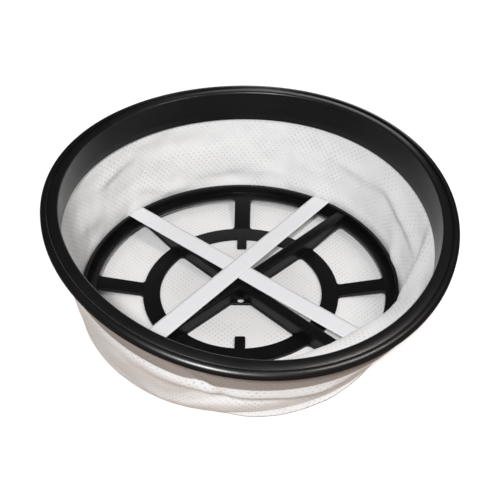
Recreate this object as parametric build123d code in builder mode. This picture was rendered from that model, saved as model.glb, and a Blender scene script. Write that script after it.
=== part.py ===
from build123d import *
import os
from math import atan2, cos, degrees, radians, sin

# Cloth filter of a tub vacuum cleaner, standing on its base with the rim up:
# a moulded rim ring, a sewn cloth bag, and a dished support frame that two
# tapes hold down on the base of the bag.
# Millimetres, +Z up. The origin is on the table, under the frame's centre.

# Rim ring: a flange with two ridges, and a skirt that lines the mouth of the bag.
rim_diameter = 305.0
outer_ridge_width = 4.8
inner_ridge_width = 6.2
rim_wall = 2.2
rim_edge_height = 5.6
rim_edge_slope = 2.8
groove_depth = 1.4
ridge_slope = 2.2
ridge_crest = 2.2
skirt_depth = 29.0
seat_room = 2.4

# How the rim stands over the base: the slack bag lets it lean and shift.
rim_height = 88.0
rim_shift_right = 10.3
rim_right_lean_angle = 3.9
rim_front_lean_angle = 6.2

# Cloth bag. Below the low side of the rim its wall is slack: it hangs below the
# skirt, leaning more than the rim does, and then folds inward.
cloth = 1.2
bag_clearance = 1.6
bond_gap = 0.2
wall_flare = 5.6
fold_depth = 21.3
fold_angle = -60.0
fold_span_angle = 120.0
slack_lean = 1.22

# Support frame: inner ring on the base, outer flange higher, upstanding lip.
frame_diameter = 247.0
plate = 2.2
dish_rise = 7.1
flange_width = 9.5
lip_height = 7.0
lip_wall = 2.5
ring_outer_diameter = 155.6
ring_inner_diameter = 128.8
spoke_width = 13.6
stub_width = 8.0
stub_length = 12.4
stub_round = 1.2
window_round = 3.0

# Ribs: four hollow arms on the diagonals that rise from the hub to the lip.
rib_base_width = 11.8
rib_top_width = 9.4
rib_top_round = 3.2
rib_hub_height = 9.0
rib_lip_height = 12.5
rib_wall = 2.0
hub_width = 32.4
hub_hole_diameter = 5.6
hub_hole_offset = 12.4

# Tapes: angle from +X and sideways offset from the frame's centre, of each.
tape_width = 15.3
tape = 0.9
tape_gap = 0.3
tape_under_angle = -39.7
tape_under_offset = 4.5
tape_over_angle = 52.0
tape_over_offset = 7.4

rim_radius = rim_diameter / 2
groove_radius = rim_radius - outer_ridge_width
opening_radius = groove_radius - inner_ridge_width
skirt_radius = opening_radius + rim_wall
sleeve_radius = skirt_radius + bond_gap
frame_radius = frame_diameter / 2
flange_radius = frame_radius - flange_width
ring_outer_radius = ring_outer_diameter / 2
ring_inner_radius = ring_inner_diameter / 2
plate_top = cloth + plate
flange_bottom = cloth + dish_rise
flange_top = flange_bottom + plate
lip_top = flange_top + lip_height
tape_reach = frame_radius + tape_gap + tape / 2
tape_level = lip_top + tape_gap + tape / 2
wall_radius = tape_reach + tape / 2 + bag_clearance
bag_base_radius = wall_radius + cloth

# The rim's own plane: Z is the axis of the ring, pointing out of the bag.
rim_plane = Plane(
    Location((rim_shift_right, 0, rim_height), (rim_front_lean_angle, rim_right_lean_angle, 0))
)
rim_axis = Axis(rim_plane.origin, rim_plane.z_dir)
rim_section = Plane(rim_plane.origin, rim_plane.x_dir, -rim_plane.y_dir)

with BuildPart() as rim_ring:
    with BuildSketch(rim_section):
        with BuildLine():
            inner_crest = (opening_radius + groove_radius) / 2
            outer_crest = (groove_radius + rim_radius) / 2
            Polyline(
                (opening_radius, -ridge_slope),
                (inner_crest - ridge_crest / 2, 0),
                (inner_crest + ridge_crest / 2, 0),
                (groove_radius, -groove_depth),
                (outer_crest - ridge_crest / 2, 0),
                (outer_crest + ridge_crest / 2, 0),
                (rim_radius, -rim_edge_slope),
                (rim_radius, -rim_edge_height),
                (rim_radius - rim_wall, -rim_edge_height),
                (rim_radius - rim_wall, -groove_depth - rim_wall),
                (skirt_radius, -groove_depth - rim_wall),
                (skirt_radius, -skirt_depth),
                (opening_radius, -skirt_depth),
                close=True,
            )
        make_face()
    revolve(axis=rim_axis)

rim_ring.part.label = "rim_ring"

# The wall hangs from the skirt as a sleeve. From there it narrows to the base,
# and where it is slack its fold passes over the frame's lip.
sleeve_end = rim_plane.offset(-skirt_depth)
sleeve_height = skirt_depth - groove_depth - rim_wall - seat_room
lean_drop = sleeve_radius * (1 - sleeve_end.z_dir.Z**2) ** 0.5
skirt_low = sleeve_end.origin.Z - lean_drop
slack_drop = cloth + lean_drop * (slack_lean - 1)
slack_origin = rim_plane.offset(-skirt_depth - slack_drop).origin
slack_end = Plane(
    Location(
        tuple(slack_origin),
        (rim_front_lean_angle * slack_lean, rim_right_lean_angle * slack_lean, 0),
    )
)
wall_foot = cloth
wall_knee = tape_level + tape / 2 + bag_clearance
wall_fold = (wall_knee + skirt_low) / 2
knee_flare = wall_flare * (wall_knee - wall_foot) / (wall_fold - wall_foot)


def wall_loop(radius, fold_radius):
    """Four points round the wall: fold's start, far side, fold's end and crest."""
    polar = ((radius, -fold_span_angle / 2), (radius, 180), (radius, fold_span_angle / 2), (fold_radius, 0))
    return [Vector(reach, 0).rotate(Axis.Z, fold_angle + turn) for reach, turn in polar]


with BuildPart() as bag_wall:
    for outside, mode in ((cloth, Mode.ADD), (0, Mode.SUBTRACT)):
        top = sleeve_end.offset(-outside)
        foot_radius = wall_radius + outside
        sleeve_outside = sleeve_radius + outside
        crest_radius = wall_radius - fold_depth + 4 * outside
        for plane, radius, fold_radius in (
            (Plane.XY.offset(wall_foot), foot_radius, foot_radius),
            (Plane.XY.offset(wall_knee + outside / 2), foot_radius + knee_flare, foot_radius),
            (Plane.XY.offset(wall_fold - outside), foot_radius + wall_flare, crest_radius),
            (slack_end.offset(-outside), sleeve_outside, sleeve_outside),
            (top, sleeve_outside, sleeve_outside),
        ):
            with BuildSketch(plane):
                with BuildLine():
                    fold_start, far_side, fold_end, fold_crest = wall_loop(radius, fold_radius)
                    ThreePointArc(fold_start, far_side, fold_end)
                    ThreePointArc(fold_end, fold_crest, fold_start)
                make_face()
        loft(ruled=True, mode=mode)
        with BuildSketch(top):
            Circle(sleeve_outside)
        extrude(amount=sleeve_height + outside, mode=mode)

bag_wall.part.label = "bag_wall"

with BuildPart() as bag_base:
    with BuildSketch():
        Circle(bag_base_radius)
    extrude(amount=cloth)

bag_base.part.label = "bag_base"

with BuildPart() as support_frame:
    # Dished plate with the flange and lip, in one turned section.
    with BuildSketch(Plane.XZ):
        with BuildLine():
            Polyline(
                (0, cloth),
                (ring_outer_radius, cloth),
                (flange_radius, flange_bottom),
                (frame_radius, flange_bottom),
                (frame_radius, lip_top),
                (frame_radius - lip_wall, lip_top),
                (frame_radius - lip_wall, flange_top),
                (flange_radius, flange_top),
                (ring_outer_radius, plate_top),
                (0, plate_top),
                close=True,
            )
        make_face()
    revolve(axis=Axis.Z)

    # Windows between the rings, on both sides of each spoke.
    with BuildSketch() as outer_windows:
        Circle(flange_radius)
        Circle(ring_outer_radius, mode=Mode.SUBTRACT)
        for angle in (0, 90):
            Rectangle(frame_diameter, spoke_width, rotation=angle, mode=Mode.SUBTRACT)
            Rectangle(frame_diameter, rib_base_width, rotation=angle + 45, mode=Mode.SUBTRACT)
        fillet(outer_windows.vertices(), window_round)
    extrude(amount=lip_top, mode=Mode.SUBTRACT)

    # Windows round the hub, with a stub reaching in at the front and the back.
    with BuildSketch() as inner_windows:
        Circle(ring_inner_radius)
        Rectangle(hub_width, hub_width, mode=Mode.SUBTRACT)
        for angle in (45, 135):
            Rectangle(frame_diameter, rib_base_width, rotation=angle, mode=Mode.SUBTRACT)
        fillet(inner_windows.vertices(), window_round)
        with Locations((0, ring_inner_radius), (0, -ring_inner_radius)):
            Rectangle(stub_width, 2 * stub_length, mode=Mode.SUBTRACT)
        for stub_tip in (ring_inner_radius - stub_length, stub_length - ring_inner_radius):
            tip_corners = inner_windows.vertices().sort_by_distance((0, stub_tip, 0))[:2]
            fillet(tip_corners, stub_round)
    extrude(amount=lip_top, mode=Mode.SUBTRACT)

    # Ribs: a rounded channel section that runs out and up from the hub, hollow below.
    rib_rise = rib_lip_height - rib_hub_height
    rib_end = frame_radius - lip_wall / 2
    rib_tilt = degrees(atan2(rib_rise, rib_end))
    rib_foot = -plate - rib_rise
    for inset, mode in ((0, Mode.ADD), (rib_wall, Mode.SUBTRACT)):
        for angle in (45, 135, 225, 315):
            across = Vector(0, 1, 0).rotate(Axis.Z, angle)
            along = Vector(1, 0, 0).rotate(Axis.Y, -rib_tilt).rotate(Axis.Z, angle)
            start = Vector(0, 0, plate_top) - along * rib_base_width / 2
            with BuildSketch(Plane(start, across, along)) as section:
                with BuildLine():
                    Polyline(
                        (inset - rib_base_width / 2, rib_foot),
                        (rib_base_width / 2 - inset, rib_foot),
                        (rib_top_width / 2 - inset, rib_hub_height - inset),
                        (inset - rib_top_width / 2, rib_hub_height - inset),
                        close=True,
                    )
                make_face()
                if mode == Mode.ADD:
                    fillet(section.vertices().group_by(Axis.Y)[-1], rib_top_round)
            extrude(amount=rib_base_width / 2 + rib_end - inset, mode=mode)

    # The ribs stop at the underside of the dish.
    with BuildSketch(Plane.XZ):
        with BuildLine():
            Polyline(
                (0, cloth),
                (ring_outer_radius, cloth),
                (flange_radius, flange_bottom),
                (frame_radius, flange_bottom),
                (frame_radius, plate_top + 2 * rib_foot),
                (0, plate_top + 2 * rib_foot),
                close=True,
            )
        make_face()
    revolve(axis=Axis.Z, mode=Mode.SUBTRACT)

    with BuildSketch():
        with Locations((0, hub_hole_offset), (0, -hub_hole_offset)):
            Circle(hub_hole_diameter / 2)
    extrude(amount=plate_top + rib_hub_height, mode=Mode.SUBTRACT)

support_frame.part.label = "support_frame"

# Each tape is sewn in at the edge of the base, runs up outside the lip, and
# crosses the frame pulled straight. The over tape rises to pass the under one.
tape_foot = cloth
tape_bend = tape_gap + tape / 2


def tape_plane(angle, offset):
    """Upright plane along a tape: X along it, Y up, origin at its foot line."""
    along = Vector(1, 0, 0).rotate(Axis.Z, angle)
    across = along.rotate(Axis.Z, 90)
    return Plane(across * offset, along, -across)


with BuildPart() as tape_under:
    with BuildSketch(tape_plane(tape_under_angle, tape_under_offset)):
        with BuildLine() as path:
            FilletPolyline(
                (-tape_reach, tape_foot),
                (-tape_reach, tape_level),
                (tape_reach, tape_level),
                (tape_reach, tape_foot),
                radius=tape_bend,
            )
        trace(line_width=tape)
    extrude(amount=tape_width / 2, both=True)

tape_under.part.label = "tape_under"

with BuildPart() as tape_over:
    turn = radians(tape_over_angle - tape_under_angle)
    crossing = (tape_over_offset * cos(turn) - tape_under_offset) / sin(turn)
    rise = tape + tape_gap
    with BuildSketch(tape_plane(tape_over_angle, tape_over_offset)):
        with BuildLine() as path:
            FilletPolyline(
                (-tape_reach, tape_foot),
                (-tape_reach, tape_level),
                (crossing - tape_width, tape_level + rise),
                (crossing + tape_width, tape_level + rise),
                (tape_reach, tape_level),
                (tape_reach, tape_foot),
                radius=tape_bend,
            )
        trace(line_width=tape)
    extrude(amount=tape_width / 2, both=True)

tape_over.part.label = "tape_over"

os.makedirs("parts", exist_ok=True)
for piece in (rim_ring, bag_wall, bag_base, support_frame, tape_under, tape_over):
    export_step(piece.part, f"parts/{piece.part.label}.step")
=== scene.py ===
import math

import bpy
from bpy.props import FloatProperty, FloatVectorProperty, PointerProperty
from mathutils import Matrix, Vector, noise


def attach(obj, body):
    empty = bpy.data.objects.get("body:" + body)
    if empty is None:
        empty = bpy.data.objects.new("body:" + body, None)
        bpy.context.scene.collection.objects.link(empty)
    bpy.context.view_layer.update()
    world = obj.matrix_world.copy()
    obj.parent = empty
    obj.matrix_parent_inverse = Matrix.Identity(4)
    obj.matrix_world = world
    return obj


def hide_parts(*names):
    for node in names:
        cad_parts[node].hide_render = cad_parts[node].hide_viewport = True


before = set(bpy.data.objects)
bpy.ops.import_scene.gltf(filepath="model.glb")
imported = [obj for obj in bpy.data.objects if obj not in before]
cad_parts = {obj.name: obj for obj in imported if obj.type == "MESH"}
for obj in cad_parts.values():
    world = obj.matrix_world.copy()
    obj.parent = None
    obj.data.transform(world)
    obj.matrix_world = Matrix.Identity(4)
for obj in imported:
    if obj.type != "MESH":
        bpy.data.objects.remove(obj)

bl_info = {
    "name": "Cloth Vacuum Filter",
    "version": (1, 0, 0),
    "blender": (4, 5, 0),
    "location": "View3D > Sidebar > Filter",
    "description": "Dresses a sewn cloth filter bag with its moulded rim, support frame and crossed tapes",
    "category": "Object",
}

MM = 0.001
# Where the base's middle lies on the cut cloth, in metres both ways.
BASE_MIDDLE = 0.5


class FilterRimSettings(bpy.types.PropertyGroup):
    """Sizes and place of the moulded rim ring."""
    diameter: FloatProperty(
        name="Diameter", description="Across the rim's outer edge",
        default=305 * MM, unit="LENGTH", precision=4)
    outer_ridge: FloatProperty(
        name="Outer Ridge", description="Width of the ridge outside the groove",
        default=4.8 * MM, unit="LENGTH", precision=4)
    inner_ridge: FloatProperty(
        name="Inner Ridge", description="Width of the ridge inside the groove",
        default=8.0 * MM, unit="LENGTH", precision=4)
    wall: FloatProperty(
        name="Wall", description="Thickness of the moulding",
        default=2.2 * MM, unit="LENGTH", precision=4)
    skirt: FloatProperty(
        name="Skirt", description="Depth of the skirt that lines the bag's mouth",
        default=29 * MM, unit="LENGTH", precision=4)
    centre: FloatVectorProperty(
        name="Centre", description="Middle of the rim's top",
        default=(8.8 * MM, 1.7 * MM, 89.7 * MM), subtype="TRANSLATION", unit="LENGTH")
    lean: FloatVectorProperty(
        name="Lean", description="How far the rim leans to the front and to the right",
        default=(math.radians(6.2), math.radians(3.9)), size=2, subtype="EULER", unit="ROTATION")
    twist: FloatProperty(
        name="Twist", description="How far the loose ring bows up at the right back and the left front",
        default=5.0 * MM, unit="LENGTH", precision=4)
    twist_angle: FloatProperty(
        name="Twist Angle", description="Where the ring bows up, round from the right",
        default=math.radians(23), subtype="ANGLE", unit="ROTATION")


class FilterClothSettings(bpy.types.PropertyGroup):
    """Sizes of the cloth bag and its tapes."""
    thickness: FloatProperty(
        name="Thickness", description="Thickness of the cloth",
        default=1.2 * MM, unit="LENGTH", precision=4)
    seam_radius: FloatProperty(
        name="Seam Radius", description="Radius of the seam round the base",
        default=121.4 * MM, unit="LENGTH", precision=4)
    foot_radius: FloatProperty(
        name="Foot Radius", description="Radius of the wall where it stands beside the frame's lip",
        default=125.3 * MM, unit="LENGTH", precision=4)
    fold_depth: FloatProperty(
        name="Fold Depth", description="How far the slack front of the wall rolls inwards",
        default=24 * MM, unit="LENGTH", precision=4)
    dimple_pitch: FloatProperty(
        name="Dimple Pitch", description="Spacing of the embossed dimples along a row",
        default=4.7 * MM, unit="LENGTH", precision=4)
    dimple_radius: FloatProperty(
        name="Dimple Radius", description="Radius of an embossed dimple",
        default=0.62 * MM, unit="LENGTH", precision=5)
    tape_width: FloatProperty(
        name="Tape Width", description="Width of the two crossed tapes",
        default=15.3 * MM, unit="LENGTH", precision=4)
    tape_thickness: FloatProperty(
        name="Tape Thickness", description="Thickness of the two crossed tapes",
        default=0.7 * MM, unit="LENGTH", precision=4)


class FilterFinishSettings(bpy.types.PropertyGroup):
    """Colours of the pieces."""
    plastic: FloatVectorProperty(
        name="Plastic", description="Moulded rim and frame", subtype="COLOR", min=0, max=1,
        default=(0.0045, 0.0042, 0.0047))
    cloth: FloatVectorProperty(
        name="Cloth", description="Non-woven filter cloth", subtype="COLOR", min=0, max=1,
        default=(0.80, 0.80, 0.795))
    tape: FloatVectorProperty(
        name="Tape", description="Woven tapes", subtype="COLOR", min=0, max=1,
        default=(0.77, 0.77, 0.785))


class FilterStageSettings(bpy.types.PropertyGroup):
    """Camera, lamps and floor."""
    camera_place: FloatVectorProperty(
        name="Camera", description="Where the camera stands",
        default=(0.0070, -0.4954, 0.4602), subtype="TRANSLATION", unit="LENGTH")
    camera_tilt: FloatProperty(
        name="Camera Elevation", description="How far the camera looks down",
        default=math.radians(40), subtype="ANGLE", unit="ROTATION")
    camera_roll: FloatProperty(
        name="Camera Roll", description="Turn of the camera about its view",
        default=math.radians(0.51), subtype="ANGLE", unit="ROTATION")
    lens: FloatProperty(name="Lens", description="Focal length in millimetres", default=60.67, min=1)
    key_power: FloatProperty(name="Key Lamp", description="Power of the key lamp", default=18.6, unit="POWER")
    side_power: FloatProperty(
        name="Side Lamp", description="Power of the soft lamp on the right", default=5.6, unit="POWER")
    back_power: FloatProperty(
        name="Back Lamp", description="Power of the low fill lamp behind", default=3, unit="POWER")
    ambient: FloatProperty(name="Ambient", description="Strength of the surrounding light", default=0.325)


class Value:
    """A shader value on which Python's operators add Math nodes."""

    def __init__(self, graph, socket):
        self.graph = graph
        self.socket = socket

    def _math(self, operation, *sides):
        node = self.graph.add("ShaderNodeMath", {"operation": operation}, dict(enumerate(sides)))
        return Value(self.graph, node.outputs[0])

    def __add__(self, other):
        return self._math("ADD", self, other)

    def __radd__(self, other):
        return self._math("ADD", other, self)

    def __sub__(self, other):
        return self._math("SUBTRACT", self, other)

    def __rsub__(self, other):
        return self._math("SUBTRACT", other, self)

    def __mul__(self, other):
        return self._math("MULTIPLY", self, other)

    def __rmul__(self, other):
        return self._math("MULTIPLY", other, self)

    def __truediv__(self, other):
        return self._math("DIVIDE", self, other)

    def __rtruediv__(self, other):
        return self._math("DIVIDE", other, self)

    def fraction(self):
        return self._math("FRACT", self)

    def root(self):
        return self._math("SQRT", self)

    def sine(self):
        return self._math("SINE", self)

    def step(self, low, high):
        """0 below low, 1 above high, smooth between; high below low turns it over."""
        node = self.graph.add(
            "ShaderNodeMapRange", {"interpolation_type": "SMOOTHSTEP"},
            {"Value": self, "From Min": min(low, high), "From Max": max(low, high),
             "To Min": 0.0 if low < high else 1.0, "To Max": 1.0 if low < high else 0.0})
        return Value(self.graph, node.outputs[0])


class Graph:
    """A material's nodes, round its Principled shader."""

    def __init__(self, name):
        self.material = bpy.data.materials.new(name)
        self.material.use_nodes = True
        self.tree = self.material.node_tree
        self.shader = self.tree.nodes["Principled BSDF"]

    def add(self, kind, settings=None, inputs=None):
        node = self.tree.nodes.new(kind)
        for key, setting in (settings or {}).items():
            setattr(node, key, setting)
        for key, value in (inputs or {}).items():
            self.feed(node.inputs[key], value)
        return node

    def feed(self, socket, value):
        if isinstance(value, Value):
            value = value.socket
        if isinstance(value, bpy.types.NodeSocket):
            self.tree.links.new(value, socket)
        else:
            socket.default_value = value

    def surface(self, **inputs):
        for key, value in inputs.items():
            self.feed(self.shader.inputs[key.replace("_", " ").title().replace("Ior", "IOR")], value)

    def mix(self, factor, first, second):
        node = self.add("ShaderNodeMix", {"data_type": "RGBA"}, {0: factor, 6: first, 7: second})
        return node.outputs[2]

    def noise(self, spot, scale, detail=2.0, roughness=0.5):
        node = self.add("ShaderNodeTexNoise", None, {
            "Vector": spot, "Scale": scale, "Detail": detail, "Roughness": roughness})
        return Value(self, node.outputs[0])

    def spot(self):
        return self.add("ShaderNodeTexCoord").outputs["Object"]

    def sheet_spot(self):
        """Place on the cloth as it was cut, in metres."""
        return self.add("ShaderNodeUVMap", {"uv_map": "cut"}).outputs[0]

    def parts(self, vector):
        node = self.add("ShaderNodeSeparateXYZ", None, {0: vector})
        return [Value(self, output) for output in node.outputs]

    def bump(self, height, distance, strength=1.0, normal=None):
        inputs = {"Height": height, "Distance": distance, "Strength": strength}
        if normal is not None:
            inputs["Normal"] = normal
        return self.add("ShaderNodeBump", None, inputs).outputs[0]


def rgba(colour, shade=1.0):
    return tuple(shade * c for c in colour) + (1.0,)


def plastic_material(name, colour, rounding=0.0, gloss=0.25):
    """Satin moulded plastic with a fine grain and a few soft scuffs."""
    graph = Graph(name)
    spot = graph.spot()
    grain = graph.noise(spot, 1400, 2)
    cloudy = graph.noise(spot, 45, 3)
    scuffs = graph.noise(spot, 210, 4, 0.65).step(0.60, 0.78)
    dusty = 0.25 * cloudy + 0.35 * scuffs
    base = graph.mix(dusty, rgba(colour), rgba((0.012, 0.0115, 0.0115)))
    rounded = None
    if rounding:
        rounded = graph.add("ShaderNodeBevel", {"samples": 6}, {"Radius": rounding}).outputs[0]
    ripple = graph.bump(cloudy, 0.25 * MM, 0.35, rounded)
    graph.surface(
        base_color=base, roughness=0.25 + 0.10 * cloudy + 0.14 * scuffs,
        specular_ior_level=gloss,
        normal=graph.bump(grain, 0.02 * MM, 0.6, ripple))
    return graph.material


def cloth_material(name, colour, cloth, backing_and_shade_height=None, greyed_middle_radius=0.0):
    """White non-woven cloth with staggered embossed dimples.

    Above the height `backing_and_shade_height` it turns into a darker brown-grey band, partly the black skirt
    showing through the thin cloth and partly painted shade of the rim's shadow and the floor's warm bounce;
    `greyed_middle_radius` is the radius within which it greys towards the middle.
    """
    graph = Graph(name)
    spot = graph.sheet_spot()
    along, up, _ = graph.parts(spot)
    height = up
    drift = 0.0006 * graph.noise(spot, 90, 2)
    along, up = along + drift, up + drift
    across = (along + up) / cloth.dimple_pitch
    back = (along - up) / cloth.dimple_pitch
    cell_a = across.fraction() - 0.5
    cell_b = back.fraction() - 0.5
    away = (cell_a * cell_a + cell_b * cell_b).root() * (cloth.dimple_pitch / math.sqrt(2))
    dimple = away.step(1.35 * cloth.dimple_radius, 0.45 * cloth.dimple_radius)
    fibre = graph.noise(spot, 900, 4, 0.7)
    patch = graph.noise(spot, 70, 3, 0.6)
    pressed = dimple * (0.35 + graph.noise(spot, 42, 2).step(0.36, 0.62))
    worn = graph.mix(0.55 * patch + 0.35 * fibre, rgba(colour, 0.94), rgba(colour, 1.05))
    base = graph.mix(0.26 * pressed, worn, rgba((0.30, 0.30, 0.31)))
    if greyed_middle_radius:
        # Darker towards the base's middle, out to the given radius.
        aside, ahead = along - BASE_MIDDLE, up - BASE_MIDDLE
        middle = (aside * aside + ahead * ahead).root().step(1.3 * greyed_middle_radius, 0.7 * greyed_middle_radius)
        base = graph.mix(0.24 * middle, base, rgba(colour, 0.45))
    # Painted shade: above this height the cloth turns darker brown-grey, partly the black skirt behind the
    # thin cloth and partly the rim's shadow painted in.
    if backing_and_shade_height:
        backing_and_shade_mask = height.step(backing_and_shade_height - 0.5 * MM, backing_and_shade_height + 0.5 * MM)
        backing_and_shade_colour = graph.mix(
            0.2 * pressed + 0.3 * patch, rgba((0.285, 0.245, 0.222)), rgba((0.22, 0.19, 0.175)))
        base = graph.mix(0.92 * backing_and_shade_mask, base, backing_and_shade_colour)
    relief = 0.25 * fibre + 0.35 * patch - 0.7 * pressed
    graph.surface(
        base_color=base, roughness=0.92, specular_ior_level=0.2, sheen_weight=0.15,
        normal=graph.bump(relief, 0.4 * MM, 0.75))
    return graph.material


def tape_material(name, colour):
    """White tape with a very fine diagonal weave."""
    graph = Graph(name)
    spot = graph.sheet_spot()
    along, across, _ = graph.parts(spot)
    weave = 0.5 + 0.5 * ((along + across) * (2 * math.pi / (0.9 * MM))).sine()
    patch = graph.noise(spot, 120, 3)
    base = graph.mix(0.35 * weave + 0.45 * patch, rgba(colour, 0.95), rgba(colour, 1.05))
    graph.surface(
        base_color=base, roughness=0.62, specular_ior_level=0.3, sheen_weight=0.1,
        normal=graph.bump(weave, 0.08 * MM, 0.5))
    return graph.material


def ring_point(radius, angle, height):
    return Vector((radius * math.cos(angle), radius * math.sin(angle), height))


def rim_point(rim, radius, angle, height):
    """A point of the leaning and slightly twisted rim."""
    front, right = rim.lean
    bow = rim.twist * math.cos(2 * (angle - rim.twist_angle))
    turn = Matrix.Rotation(front, 3, "X") @ Matrix.Rotation(right, 3, "Y")
    return Vector(rim.centre) + turn @ ring_point(radius, angle, height + bow)


def crowned(crest, top, bend, first, last, steps):
    """Flat points on a round ridge of radius bend, from one slope in degrees to another."""
    slopes = [math.radians(first + (last - first) * i / steps) for i in range(steps + 1)]
    return [(crest + bend * math.sin(slope), top - bend * (1 - math.cos(slope))) for slope in slopes]


def smooth_path(points, steps):
    """Points along a Catmull-Rom curve, evenly spaced by length."""
    ends = [2 * points[0] - points[1]] + list(points) + [2 * points[-1] - points[-2]]
    between_points = 14
    fine = []
    for before, start, end, after in zip(ends, ends[1:], ends[2:], ends[3:]):
        for i in range(between_points):
            t = i / between_points
            square = (2 * before - 5 * start + 4 * end - after) * t * t
            cube = (3 * start - before - 3 * end + after) * t ** 3
            fine.append(0.5 * (2 * start + (end - before) * t + square + cube))
    fine.append(points[-1])
    return even_path(fine, steps)


def even_path(points, steps):
    """Points along straight lines through the given ones, evenly spaced by length."""
    lengths = [0.0]
    for start, end in zip(points, points[1:]):
        lengths.append(lengths[-1] + (end - start).length)
    got, k = [], 0
    for i in range(steps + 1):
        want = lengths[-1] * i / steps
        while k < len(points) - 2 and lengths[k + 1] < want:
            k += 1
        share = (want - lengths[k]) / max(lengths[k + 1] - lengths[k], 1e-9)
        got.append(points[k].lerp(points[k + 1], min(max(share, 0), 1)))
    return got


def link(name, mesh, material):
    piece = bpy.data.objects.new(name, mesh)
    bpy.context.scene.collection.objects.link(piece)
    mesh.materials.append(material)
    mesh.shade_smooth()
    return piece


def grid(name, rows, spots, closed, material):
    """A sheet through rows of points; spots gives each point's place on the cut cloth."""
    count = len(rows[0])
    faces, places = [], []
    for j in range(len(rows) - 1):
        for i in range(count if closed else count - 1):
            k = (i + 1) % count
            faces.append((j * count + i, j * count + k, (j + 1) * count + k, (j + 1) * count + i))
            places += [spots[j][i], spots[j][i + 1], spots[j + 1][i + 1], spots[j + 1][i]]
    mesh = bpy.data.meshes.new(name)
    mesh.from_pydata([p for row in rows for p in row], [], faces)
    layer = mesh.uv_layers.new(name="cut")
    for corner, place in zip(layer.data, places):
        corner.uv = place
    return link(name, mesh, material)


def turned(name, profile, segments, place, change, materials):
    """A solid ring turned from a closed profile of (radius, height); place puts each point of it.

    The profile takes the second material from its point number `change` on.
    """
    count = len(profile)
    points, faces = [], []
    for i in range(segments):
        angle = 2 * math.pi * i / segments
        points += [place(radius, angle, height) for radius, height in profile]
    for i in range(segments):
        k = (i + 1) % segments
        for j in range(count):
            m = (j + 1) % count
            faces.append((i * count + j, i * count + m, k * count + m, k * count + j))
    mesh = bpy.data.meshes.new(name)
    mesh.from_pydata(points, [], faces)
    piece = link(name, mesh, materials[0])
    mesh.materials.append(materials[1])
    for face in mesh.polygons:
        face.material_index = int(face.index % count >= change)
    piece.modifiers.new("even shading", "WEIGHTED_NORMAL").keep_sharp = False
    return piece


def thicken(piece, thickness, offset=0.0):
    solid = piece.modifiers.new("cloth", "SOLIDIFY")
    solid.thickness = thickness
    solid.offset = offset
    solid.use_even_offset = False
    return solid


class FILTER_OT_rim(bpy.types.Operator):
    """Turn the rim ring with its two rounded ridges and skirt"""
    bl_idname = "filter.rim"
    bl_label = "Rim Ring"

    def execute(self, context):
        rim, finish = context.scene.filter_rim, context.scene.filter_finish
        outside = rim.diameter / 2
        groove = outside - rim.outer_ridge
        inside = groove - rim.inner_ridge
        edge, soft = 5.6 * MM, 0.45 * MM
        skirt_out = inside + rim.wall
        step, step_height = 0.45 * MM, 6.6 * MM
        lip, inner_bend, outer_bend = 1.2 * MM, 17.5 * MM, 5.2 * MM
        groove_depth, flank, under = 1.7 * MM, 3.6 * MM, 3.7 * MM
        profile = crowned(inside + lip, 0, lip, -88, 0, 6)
        profile += crowned(inside + lip, 0, inner_bend, 3, 21.5, 10)
        profile += [(groove, -groove_depth)]
        profile += crowned(groove + 0.6 * MM, 0, outer_bend, -5, 52, 14)
        ridges = len(profile)
        profile += [(outside, -flank), (outside, -edge + soft), (outside - soft, -edge),
                    (outside - rim.wall + soft, -edge), (outside - rim.wall, -edge + soft),
                    (outside - rim.wall, -under)]
        profile += [(skirt_out, -under), (skirt_out, -rim.skirt + soft), (skirt_out - soft, -rim.skirt)]
        profile += [(inside + step + soft, -rim.skirt), (inside + step, -rim.skirt + soft),
                    (inside + step, -rim.skirt + step_height - 0.2 * MM),
                    (inside, -rim.skirt + step_height + 0.2 * MM)]
        piece = turned("rim", profile, 320, lambda *spot: rim_point(rim, *spot), ridges, (
            plastic_material("black plastic ridges", finish.plastic, gloss=0.75),
            plastic_material("black plastic rim", finish.plastic)))
        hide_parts("rim_ring")
        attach(piece, "root")
        return {"FINISHED"}


class FILTER_OT_frame(bpy.types.Operator):
    """Finish the support frame in satin plastic with softened edges"""
    bl_idname = "filter.frame"
    bl_label = "Support Frame"

    def execute(self, context):
        finish = context.scene.filter_finish
        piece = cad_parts["support_frame"]
        piece.data.materials.clear()
        piece.data.materials.append(plastic_material("black plastic frame", finish.plastic, 0.7 * MM))
        return {"FINISHED"}


# Each fold's line, by degrees round from the right and share of the wall's height, then its depth
# inwards and its width in millimetres.
FOLDS = (
    ("inside left crease", ((154, 0.71), (144, 0.76), (135, 0.81)), 1.6, 4.0),
    ("inside left valley", ((136, 0.86), (122, 0.77), (108.5, 0.74), (100, 0.71)), -1.6, 8.0),
    ("low left crease", ((134, 0.40), (125, 0.26), (114.5, 0.16)), 1.5, 4.5),
    ("back wedge", ((109, 0.20), (102, 0.21), (88, 0.20), (73.5, 0.19)), -1.8, 6.0),
    ("left band", ((174.5, 0.55), (165, 0.50), (155.5, 0.41), (144.5, 0.29)), 2.4, 8.0),
    ("right crease", ((37, 0.72), (30.5, 0.73), (21.5, 0.67), (12.5, 0.62), (2, 0.59)), 3.0, 5.0),
    ("right soft crease", ((20.5, 0.43), (10.5, 0.20), (-1.5, 0.05)), 1.8, 6.0),
    ("back right crease", ((55.5, 0.72), (46, 0.67), (36, 0.66)), 1.4, 5.0),
    ("roll end", ((3, 0.93), (-8, 0.72), (-18, 0.52)), 5.0, 7.0),
    ("front left valley", ((228, 1.26), (234.5, 1.23), (241, 1.20), (248, 1.19), (253, 1.14), (258, 1.03),
                           (263, 0.92)), 2.6, 3.2),
    ("front left ridge", ((226, 1.34), (236, 1.31), (246, 1.28), (255, 1.18), (261, 1.06)), -1.6, 3.6),
)

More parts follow.
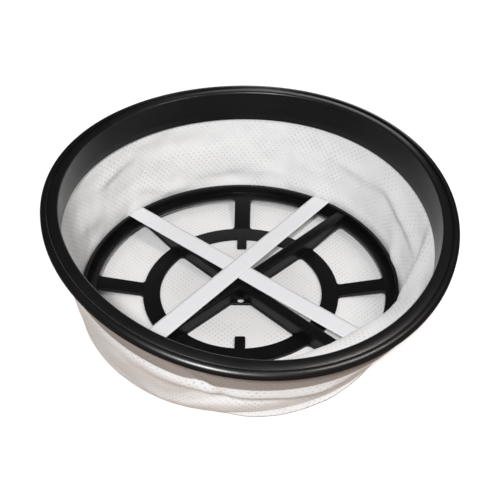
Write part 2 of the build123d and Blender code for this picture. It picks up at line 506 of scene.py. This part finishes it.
# How strongly the wall rolls in, bellies, flares and tucks in, by degrees round from the right.
ROLL = ((-180, 0), (-122, 0), (-110, 0.1), (-100, 0.3), (-90, 0.6), (-76, 0.95), (-62, 1), (-50, 0.95),
        (-39, 0.8), (-27, 0.56), (-19, 0.36), (-10, 0.10), (-2, 0), (180, 0))
BELLY = ((-180, 0), (-146, 0), (-132, 0.35), (-120, 0.8), (-110, 0.9), (-100, 0.7), (-90, 0.35), (-76, 0.05),
         (-62, 0), (180, 0))
FLARE = ((-180, 0), (-142, 0), (-128, 0.3), (-114, 0.6), (-104, 0.9), (-88, 1), (-74, 0.8), (-64, 0.45),
         (-54, 0), (180, 0))
TUCK = ((-180, 0), (-68, 0), (-57, 0.8), (-46, 1), (-24, 0.8), (-8, 0.3), (6, 0), (180, 0))
# Millimetres out and up from a straight wall, at the heel, the knee and six places up to the skirt.
ROLL_SHAPE = ((0, 0), (0, -0.4), (-12.7, 1.7), (-22.1, 3.8), (-23.9, 7.5), (-13.3, 6.1), (-3.6, -2.6),
              (0.6, -4.6))
# The fold's depth for which ROLL_SHAPE is drawn, in millimetres.
ROLL_DRAWN = 24
TUCK_SHAPE = ((0, 0), (0, 0), (0, 0), (0, 0), (0, 0), (-1, 0.5), (-3, 2.4), (-3.2, 4.2))
BELLY_SHAPE = ((0.6, -2), (4.7, -6), (5.3, -4.8), (5.4, -3.2), (5.6, -1), (5, 1.1), (3.8, 2.8), (1.9, 2.4))


# How much deeper the folds hang than FOLDS lists them.
FOLD_STRENGTH = 1.4


def between(table, x):
    """Reads a value between the rows of a short table."""
    for (x0, y0), (x1, y1) in zip(table, table[1:]):
        if x <= x1:
            share = (x - x0) / (x1 - x0)
            return y0 + (y1 - y0) * share
    return table[-1][1]


def around_table(table, angle):
    """Reads a table of degrees, from -180 to 180, at an angle."""
    turn = (math.degrees(angle) + 180) % 360 - 180
    return sum(between(table, max(min(turn + step, 180), -180)) for step in (-4, -2, 0, 2, 4)) / 5


def fold_offset(angle, share, reach, height):
    """How far the named folds push the wall inwards at one place."""
    total = 0.0
    for _, line, depth, width in FOLDS:
        best = 1e9
        taper = 0.0
        for k, (start, end) in enumerate(zip(line, line[1:])):
            first = math.radians(start[0])
            ax = ((angle - first + math.pi) % (2 * math.pi) - math.pi) * reach
            ay = (share - start[1]) * height
            bx, by = math.radians(end[0] - start[0]) * reach, (end[1] - start[1]) * height
            along = min(max((ax * bx + ay * by) / (bx * bx + by * by), 0), 1)
            away = math.hypot(ax - along * bx, ay - along * by)
            if away < best:
                best = away
                taper = (k + along) / (len(line) - 1)
        if best < 3 * width * MM:
            ends = math.sin(math.pi * (0.08 + 0.84 * taper)) ** 0.7
            total += FOLD_STRENGTH * depth * MM * ends * math.exp(-(best / (width * MM)) ** 2)
    return total


class FILTER_OT_wall(bpy.types.Operator):
    """Hang the slack cloth wall between the rim's skirt and the base"""
    bl_idname = "filter.wall"
    bl_label = "Bag Wall"

    around = 400
    rows = 54
    sleeve_rows = 11
    reach = 134 * MM
    height = 62 * MM
    # Share of the path that is the drawn-in edge below the heel.
    edge_share = 0.09

    def meridian(self, angle, rim, cloth):
        """The wall's path from the seam to the skirt's lower edge, and its top, at one angle."""
        skirt_radius = rim.diameter / 2 - rim.outer_ridge - rim.inner_ridge + rim.wall
        skirt_radius += cloth.thickness / 2 + 0.3 * MM
        skirt = rim_point(rim, skirt_radius, angle, -rim.skirt)
        top = rim_point(rim, skirt_radius, angle, -6.5 * MM)
        seam = ring_point(cloth.seam_radius, angle, 2.2 * MM)
        heel = ring_point(cloth.foot_radius - 0.4 * MM, angle, 6.5 * MM)
        knee = ring_point(cloth.foot_radius + 0.5 * MM, angle, 18.5 * MM)
        path = [heel, knee] + [knee.lerp(skirt, share) for share in (0.15, 0.3, 0.45, 0.6, 0.75, 0.9)]
        outward = ring_point(1, angle, 0)
        forms = ((ROLL, ROLL_SHAPE, cloth.fold_depth / ROLL_DRAWN), (BELLY, BELLY_SHAPE, MM),
                 (TUCK, TUCK_SHAPE, MM))
        for table, shape, scale in forms:
            share = around_table(table, angle) * scale
            path = [point + outward * (out * share) + Vector((0, 0, up * share))
                    for point, (out, up) in zip(path, shape)]
        return [seam] + path + [skirt], top

    def execute(self, context):
        rim, cloth = context.scene.filter_rim, context.scene.filter_cloth
        columns = []
        for i in range(self.around):
            angle = 2 * math.pi * i / self.around
            path, top = self.meridian(angle, rim, cloth)
            line = smooth_path(path, self.rows)
            sleeve = (top - line[-1]).length
            line += [line[-1].lerp(top, k / self.sleeve_rows) for k in range(1, self.sleeve_rows + 1)]
            outward = ring_point(1, angle, 0)
            loose = 1.4 * MM * around_table(BELLY, angle)
            flare = 2.7 * MM * around_table(FLARE, angle)
            for j, point in enumerate(line):
                if j <= self.rows:
                    share = (j / self.rows - self.edge_share) / (1 - self.edge_share)
                else:
                    share = 1 + (j - self.rows) / self.sleeve_rows * sleeve / self.height
                held = min(max(0, share * 6), 1)
                free = held * min(max(0, (1 - share) * 9), 1)
                slack = held * min(max(0, (1.33 - share) * 9), 1)
                push = -fold_offset(angle, share, self.reach, self.height) * slack
                push += (1.5 * MM * noise.noise(point * 38) + 0.7 * MM * noise.noise(point * 95)) * free
                push += loose * slack * min(max(0, (share - 0.6) * 3), 1)
                push += flare * slack * math.exp(-((share - 0.90) / 0.13) ** 2)
                # The skirt is behind the cloth here and lets it in no further.
                if share > 0.96:
                    push = max(push, -0.2 * MM)
                line[j] = point + outward * push
            columns.append(line)
        rows = [list(row) for row in zip(*columns)]
        height = 0.0
        spots = []
        for j, row in enumerate(rows):
            if j:
                height += sum((a - b).length for a, b in zip(row, rows[j - 1])) / self.around
            spots.append([(2 * math.pi * self.reach * i / self.around, height)
                          for i in range(self.around + 1)])
        # The darker band starts 1.5 mm above the skirt's lower edge; it is partly painted shade of the rim's
        # shadow.
        backing_and_shade_height = spots[self.rows][0][1] + 1.5 * MM
        material = cloth_material("filter cloth wall", context.scene.filter_finish.cloth, cloth, backing_and_shade_height)
        piece = grid("wall", rows, spots, True, material)
        thicken(piece, cloth.thickness)
        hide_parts("bag_wall")
        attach(piece, "root")
        return {"FINISHED"}


# How far the seam's edge of cloth stands out, in millimetres, by degrees round from the right.
FIN_REACH = ((-180, 0.5), (-142, 1.2), (-128, 1.4), (-114, 0.4), (-100, 0.4), (-93, 1.8), (-85, 5.4),
             (-74, 6.0), (-58, 4.8), (-40, 1.4), (-10, 0.6), (90, 0.5), (180, 0.5))


class FILTER_OT_base(bpy.types.Operator):
    """Lay the round base panel and the seam allowance round it"""
    bl_idname = "filter.base"
    bl_label = "Bag Base"

    def execute(self, context):
        cloth, finish = context.scene.filter_cloth, context.scene.filter_finish
        count, rings = 240, 36
        rows, spots = [], []
        middle = 0.65 * MM
        for j in range(rings + 1):
            radius = 0.4 * MM + (cloth.seam_radius - 0.4 * MM) * j / rings
            row, place = [], []
            for i in range(count + 1):
                point = ring_point(radius, 2 * math.pi * i / count, middle)
                place.append((point.x + BASE_MIDDLE, point.y + BASE_MIDDLE))
                row.append(point)
            rows.append(row[:-1])
            spots.append(place)
        # Painted light: the base's cloth is made 5% lighter than the wall's same cloth, to brighten the
        # windows in the frame.
        material = cloth_material("filter cloth base", [1.05 * c for c in finish.cloth], cloth, greyed_middle_radius=60 * MM)
        piece = grid("base", rows, spots, True, material)
        thicken(piece, 1.0 * MM)
        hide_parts("bag_base")
        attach(piece, "root")
        fin_rows, fin_spots = [], []
        count = 360
        for j in range(6):
            row, place = [], []
            for i in range(count + 1):
                angle = 2 * math.pi * i / count
                reach = around_table(FIN_REACH, angle) * MM
                wave = noise.noise(ring_point(9, angle, 2)) * min(reach, 1.2 * MM) * 0.5
                radius = cloth.seam_radius - 0.8 * MM + (reach + 0.8 * MM + wave) * j / 5
                row.append(ring_point(radius, angle, 1.55 * MM - 0.25 * MM * j / 5 + 0.5 * wave * j / 5))
                place.append((0.134 * angle, radius))
            fin_rows.append(row[:-1])
            fin_spots.append(place)
        fin = grid("seam_allowance", fin_rows, fin_spots, True, material)
        thicken(fin, 1.9 * MM)
        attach(fin, "root")
        return {"FINISHED"}


class FILTER_OT_tapes(bpy.types.Operator):
    """Stretch the two crossed tapes over the support frame"""
    bl_idname = "filter.tapes"
    bl_label = "Tapes"

    lip_radius = 123.5 * MM
    lip_top = 17.5 * MM

    def tape(self, context, name, node, angle, offset, level):
        cloth, finish = context.scene.filter_cloth, context.scene.filter_finish
        half, thick = cloth.tape_width / 2, cloth.tape_thickness
        across_count, along_count = 8, 150
        turn = Matrix.Rotation(angle, 4, "Z")
        rows, spots = [], []
        for k in range(across_count + 1):
            side = -half + cloth.tape_width * k / across_count
            reach = math.sqrt((self.lip_radius + 0.2 * MM + thick / 2) ** 2 - (offset + side) ** 2)
            path = []
            for sign in (-1, 1):
                leg = [(sign * reach, 3 * MM), (sign * reach, self.lip_top - 0.8 * MM),
                       (sign * (reach - 0.25 * MM), self.lip_top + 0.1 * MM),
                       (sign * (reach - 0.9 * MM), level - 0.1 * MM), (sign * (reach - 2.2 * MM), level)]
                path += leg if sign < 0 else leg[::-1]
            points = [turn @ Vector((x, offset + side, z)) for x, z in path]
            line = even_path(points, along_count)
            for i, point in enumerate(line):
                if point.z > self.lip_top:
                    span = math.sin(math.pi * i / along_count)
                    line[i] = point + Vector((0, 0, (0.25 * noise.noise(point * 30) * span) * MM))
            rows.append(line)
            length = sum((a - b).length for a, b in zip(line, line[1:]))
            spots.append([(length * i / along_count, side + half) for i in range(along_count + 1)])
        piece = grid(name, rows, spots, False, tape_material("tape " + name, finish.tape))
        thicken(piece, thick)
        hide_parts(node)
        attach(piece, "root")

    def execute(self, context):
        thick = context.scene.filter_cloth.tape_thickness
        level = self.lip_top + 0.15 * MM + thick / 2
        self.tape(context, "tape_1", "tape_under", math.radians(-39.7), 4.5 * MM, level)
        self.tape(context, "tape_2", "tape_over", math.radians(52), 7.4 * MM, level + thick + 0.15 * MM)
        return {"FINISHED"}


class FILTER_OT_stage(bpy.types.Operator):
    """Set the floor, the lamps and the camera"""
    bl_idname = "filter.stage"
    bl_label = "Stage"

    def lamp(self, name, place, target, size, power, colour=(1, 1, 1)):
        data = bpy.data.lights.new(name, "AREA")
        data.color = colour
        data.size = size
        data.energy = power
        lamp = bpy.data.objects.new(name, data)
        lamp.location = place
        lamp.rotation_euler = (Vector(target) - Vector(place)).to_track_quat("-Z", "Y").to_euler()
        bpy.context.scene.collection.objects.link(lamp)

    def floor(self):
        graph = Graph("pale floor")
        rays = graph.add("ShaderNodeLightPath")
        seen = rays.outputs["Is Camera Ray"]
        bounce = graph.mix(
            rays.outputs["Is Glossy Ray"], rgba((0.48, 0.385, 0.315)), rgba((0.10, 0.09, 0.08)))
        graph.surface(
            base_color=graph.mix(seen, bounce, rgba((0.62, 0.62, 0.62))), roughness=0.8,
            specular_ior_level=0.1,
            emission_color=graph.mix(seen, rgba((0, 0, 0)), rgba((0.55, 0.55, 0.55))), emission_strength=1.0)
        size = 4.0
        mesh = bpy.data.meshes.new("floor")
        mesh.from_pydata([(-size, -size, 0), (size, -size, 0), (size, size, 0), (-size, size, 0)], [],
                         [(0, 1, 2, 3)])
        floor = bpy.data.objects.new("floor", mesh)
        bpy.context.scene.collection.objects.link(floor)
        mesh.materials.append(graph.material)

    def world(self, ambient):
        world = bpy.data.worlds.new("studio")
        world.use_nodes = True
        bpy.context.scene.world = world
        tree = world.node_tree
        sky = tree.nodes["Background"]
        rays = tree.nodes.new("ShaderNodeLightPath")
        light = rgba((ambient, ambient, ambient))
        for ray, level in (("Is Glossy Ray", 0.03), ("Is Camera Ray", 1.0)):
            blend = tree.nodes.new("ShaderNodeMix")
            blend.data_type = "RGBA"
            tree.links.new(rays.outputs[ray], blend.inputs[0])
            if isinstance(light, tuple):
                blend.inputs[6].default_value = light
            else:
                tree.links.new(light, blend.inputs[6])
            blend.inputs[7].default_value = rgba((level, level, level))
            light = blend.outputs[2]
        tree.links.new(light, sky.inputs["Color"])
        sky.inputs["Strength"].default_value = 1.0

    def execute(self, context):
        stage = context.scene.filter_stage
        self.floor()
        self.world(stage.ambient)
        self.lamp("key", (-0.10, -1.04, 1.21), (0, 0, 0.03), 0.15, stage.key_power, (0.985, 0.982, 1.0))
        self.lamp("side", (0.86, -0.34, 1.32), (0, 0, 0.03), 0.35, stage.side_power, (1.0, 0.94, 0.88))
        self.lamp("back", (0.30, 1.35, 0.38), (0, 0, 0.05), 0.8, stage.back_power)
        context.scene.view_settings.view_transform = "Standard"
        data = bpy.data.cameras.new("camera")
        data.lens = stage.lens
        data.sensor_width = 36
        camera = bpy.data.objects.new("camera", data)
        camera.matrix_world = (Matrix.Translation(stage.camera_place)
                               @ Matrix.Rotation(math.pi / 2 - stage.camera_tilt, 4, "X")
                               @ Matrix.Rotation(stage.camera_roll, 4, "Z"))
        context.scene.collection.objects.link(camera)
        context.scene.camera = camera
        return {"FINISHED"}


class FILTER_PT_panel(bpy.types.Panel):
    """Lists the filter's pieces and settings"""
    bl_idname = "FILTER_PT_panel"
    bl_label = "Cloth Vacuum Filter"
    bl_space_type = "VIEW_3D"
    bl_region_type = "UI"
    bl_category = "Filter"

    def draw(self, context):
        scene = context.scene
        for group in (scene.filter_rim, scene.filter_cloth, scene.filter_finish, scene.filter_stage):
            box = self.layout.box()
            for key in group.bl_rna.properties.keys():
                if key not in {"rna_type", "name"}:
                    box.prop(group, key)
        for operator in OPERATORS:
            self.layout.operator(operator.bl_idname)


SETTINGS = (
    ("filter_rim", FilterRimSettings),
    ("filter_cloth", FilterClothSettings),
    ("filter_finish", FilterFinishSettings),
    ("filter_stage", FilterStageSettings),
)
OPERATORS = (FILTER_OT_rim, FILTER_OT_frame, FILTER_OT_wall, FILTER_OT_base, FILTER_OT_tapes, FILTER_OT_stage)


def register():
    for key, group in SETTINGS:
        bpy.utils.register_class(group)
        setattr(bpy.types.Scene, key, PointerProperty(type=group))
    for operator in OPERATORS:
        bpy.utils.register_class(operator)
    bpy.utils.register_class(FILTER_PT_panel)


def unregister():
    bpy.utils.unregister_class(FILTER_PT_panel)
    for operator in reversed(OPERATORS):
        bpy.utils.unregister_class(operator)
    for key, group in reversed(SETTINGS):
        delattr(bpy.types.Scene, key)
        bpy.utils.unregister_class(group)


def main():
    register()
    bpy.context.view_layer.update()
    bpy.ops.filter.rim()
    bpy.ops.filter.frame()
    bpy.ops.filter.wall()
    bpy.ops.filter.base()
    bpy.ops.filter.tapes()
    bpy.ops.filter.stage()


if __name__ == "__main__":
    main()
